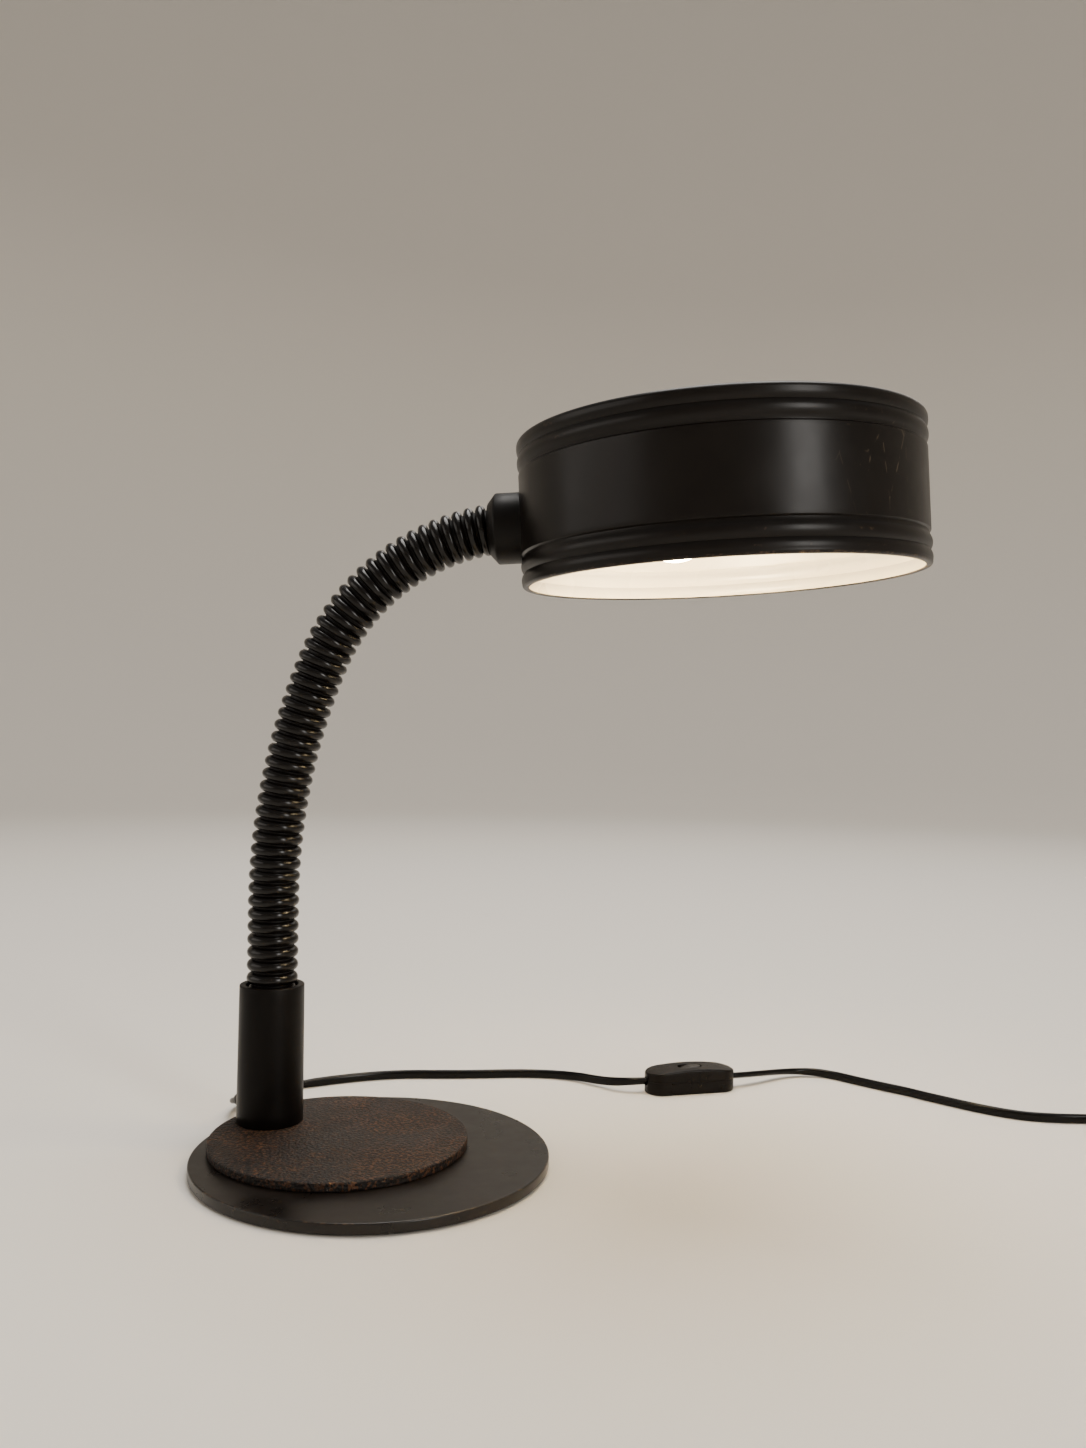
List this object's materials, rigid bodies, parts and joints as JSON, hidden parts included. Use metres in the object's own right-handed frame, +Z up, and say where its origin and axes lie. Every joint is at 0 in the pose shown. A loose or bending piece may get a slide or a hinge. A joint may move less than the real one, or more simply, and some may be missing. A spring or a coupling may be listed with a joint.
{
  "type": "gooseneck desk lamp",
  "caption": "Desk lamp with a round weighted base, an upright stem, a ribbed flexible neck, a shallow drum shade open below, and a flat cord with an inline rocker switch and a plug.",
  "frame": {"origin": "middle of the base plate, on the surface the lamp stands on", "axes": "+Z up; +X level, in the plane of the neck, from the stem towards the head; +Y level, to the side on which the cord lies"},
  "size_m": [0.5803, 0.2815, 0.382],
  "materials": {
    "felt": "matte felt",
    "black_paint": "satin black-brown enamel",
    "cast_disc": "rough cast, dark brown",
    "black_moulding": "semi-matte black",
    "cord_black": "smooth black",
    "switch_moulding": "satin dark brown-black",
    "holder_moulding": "moulded phenolic",
    "lead_sleeving": "matte",
    "steel": "zinc plated",
    "brass": "plain",
    "glass": "opal"
  },
  "bodies": {
    "base": {"base_pad": "felt", "base_plate": "black_paint", "base_weight": "cast_disc", "base_bolt": "steel", "stem": "black_moulding", "stem_plug": "steel", "neck_clamp": "brass", "clamp_screw": "steel", "cord_relief": "black_moulding", "stem_lead": "cord_black", "sleeve_foot": "black_moulding", "hose_foot": "steel", "cord_to_switch": "cord_black", "switch_base": "switch_moulding", "switch_cover": "switch_moulding", "switch_contacts": "brass", "switch_screws": "steel", "cord_to_coil": "cord_black", "cord_coil": "cord_black", "cord_tie": "cord_black", "plug_body": "cord_black", "plug_pins": "brass"},
    "rocker": {"switch_rocker": "switch_moulding"},
    "link_01": {"sleeve_01": "black_moulding", "hose_01": "steel"},
    "link_02": {"sleeve_02": "black_moulding", "hose_02": "steel"},
    "link_03": {"sleeve_03": "black_moulding", "hose_03": "steel"},
    "link_04": {"sleeve_04": "black_moulding", "hose_04": "steel"},
    "link_05": {"sleeve_05": "black_moulding", "hose_05": "steel"},
    "link_06": {"sleeve_06": "black_moulding", "hose_06": "steel"},
    "link_07": {"sleeve_07": "black_moulding", "hose_07": "steel"},
    "link_08": {"sleeve_08": "black_moulding", "hose_08": "steel"},
    "link_09": {"sleeve_09": "black_moulding", "hose_09": "steel"},
    "link_10": {"sleeve_10": "black_moulding", "hose_10": "steel"},
    "link_11": {"sleeve_11": "black_moulding", "hose_11": "steel"},
    "link_12": {"sleeve_12": "black_moulding", "hose_12": "steel"},
    "link_13": {"sleeve_13": "black_moulding", "hose_13": "steel"},
    "head": {"sleeve_end": "black_moulding", "hose_end": "steel", "collar": "black_moulding", "collar_nut": "steel", "shade": "black_paint", "lampholder": "holder_moulding", "holder_contacts": "brass", "bulb_cap": "brass", "bulb_glass": "glass", "head_lead": "lead_sleeving"}
  },
  "joints": [
    {"name": "neck_turn_01", "type": "hinge", "parent": "base", "child": "link_01", "pos_m": [-0.06139, 0.0253, 0.11116], "axis": [1, 0, 0], "range_deg": [-7, 7]},
    {"name": "neck_bend_01", "type": "hinge", "parent": "link_01", "child": "link_02", "pos_m": [-0.06139, 0.0253, 0.14496], "axis": [0, 1, 0], "range_deg": [-6, 3.5]},
    {"name": "neck_bend_02", "type": "hinge", "parent": "link_02", "child": "link_03", "pos_m": [-0.05817, 0.0253, 0.17802], "axis": [0, 1, 0], "range_deg": [-6, 3.5]},
    {"name": "neck_turn_02", "type": "hinge", "parent": "link_03", "child": "link_04", "pos_m": [-0.05187, 0.0253, 0.21004], "axis": [0.972, 0, -0.2352], "range_deg": [-7, 7]},
    {"name": "neck_bend_03", "type": "hinge", "parent": "link_04", "child": "link_05", "pos_m": [-0.04476, 0.0253, 0.23472], "axis": [0, 1, 0], "range_deg": [-6, 3.5]},
    {"name": "neck_bend_04", "type": "hinge", "parent": "link_05", "child": "link_06", "pos_m": [-0.03594, 0.0253, 0.25845], "axis": [0, 1, 0], "range_deg": [-6, 3.5]},
    {"name": "neck_bend_05", "type": "hinge", "parent": "link_06", "child": "link_07", "pos_m": [-0.03032, 0.0253, 0.26963], "axis": [0, 1, 0], "range_deg": [-6, 3.5]},
    {"name": "neck_turn_03", "type": "hinge", "parent": "link_07", "child": "link_08", "pos_m": [-0.02357, 0.0253, 0.28006], "axis": [0.8089, 0, -0.588], "range_deg": [-7, 7]},
    {"name": "neck_bend_06", "type": "hinge", "parent": "link_08", "child": "link_09", "pos_m": [-0.01579, 0.0253, 0.28963], "axis": [0, 1, 0], "range_deg": [-6, 3.5]},
    {"name": "neck_bend_07", "type": "hinge", "parent": "link_09", "child": "link_10", "pos_m": [-0.0071, 0.0253, 0.29824], "axis": [0, 1, 0], "range_deg": [-6, 3.5]},
    {"name": "neck_bend_08", "type": "hinge", "parent": "link_10", "child": "link_11", "pos_m": [0.00238, 0.0253, 0.30583], "axis": [0, 1, 0], "range_deg": [-6, 3.5]},
    {"name": "neck_turn_04", "type": "hinge", "parent": "link_11", "child": "link_12", "pos_m": [0.01253, 0.0253, 0.31232], "axis": [0.4961, 0, -0.8683], "range_deg": [-7, 7]},
    {"name": "neck_bend_09", "type": "hinge", "parent": "link_12", "child": "link_13", "pos_m": [0.0232, 0.0253, 0.31773], "axis": [0, 1, 0], "range_deg": [-6, 3.5]},
    {"name": "neck_bend_10", "type": "hinge", "parent": "link_13", "child": "head", "pos_m": [0.03425, 0.0253, 0.32204], "axis": [0, 1, 0], "range_deg": [-6, 3.5]},
    {"name": "switch_rock", "type": "hinge", "parent": "base", "child": "rocker", "pos_m": [0.1653, 0.1494, 0.0124], "axis": [-0.3404, 0.9403, 0], "range_deg": [0, 14]}
  ],
  "couplings": [
    {"joint": "neck_bend_02", "follows": "neck_bend_01", "ratio": 1},
    {"joint": "neck_bend_03", "follows": "neck_bend_01", "ratio": 1},
    {"joint": "neck_bend_04", "follows": "neck_bend_01", "ratio": 1},
    {"joint": "neck_bend_05", "follows": "neck_bend_01", "ratio": 1},
    {"joint": "neck_bend_06", "follows": "neck_bend_01", "ratio": 1},
    {"joint": "neck_bend_07", "follows": "neck_bend_01", "ratio": 1},
    {"joint": "neck_bend_08", "follows": "neck_bend_01", "ratio": 1},
    {"joint": "neck_bend_09", "follows": "neck_bend_01", "ratio": 1},
    {"joint": "neck_bend_10", "follows": "neck_bend_01", "ratio": 1},
    {"joint": "neck_turn_02", "follows": "neck_turn_01", "ratio": 1},
    {"joint": "neck_turn_03", "follows": "neck_turn_01", "ratio": 1},
    {"joint": "neck_turn_04", "follows": "neck_turn_01", "ratio": 1}
  ]
}
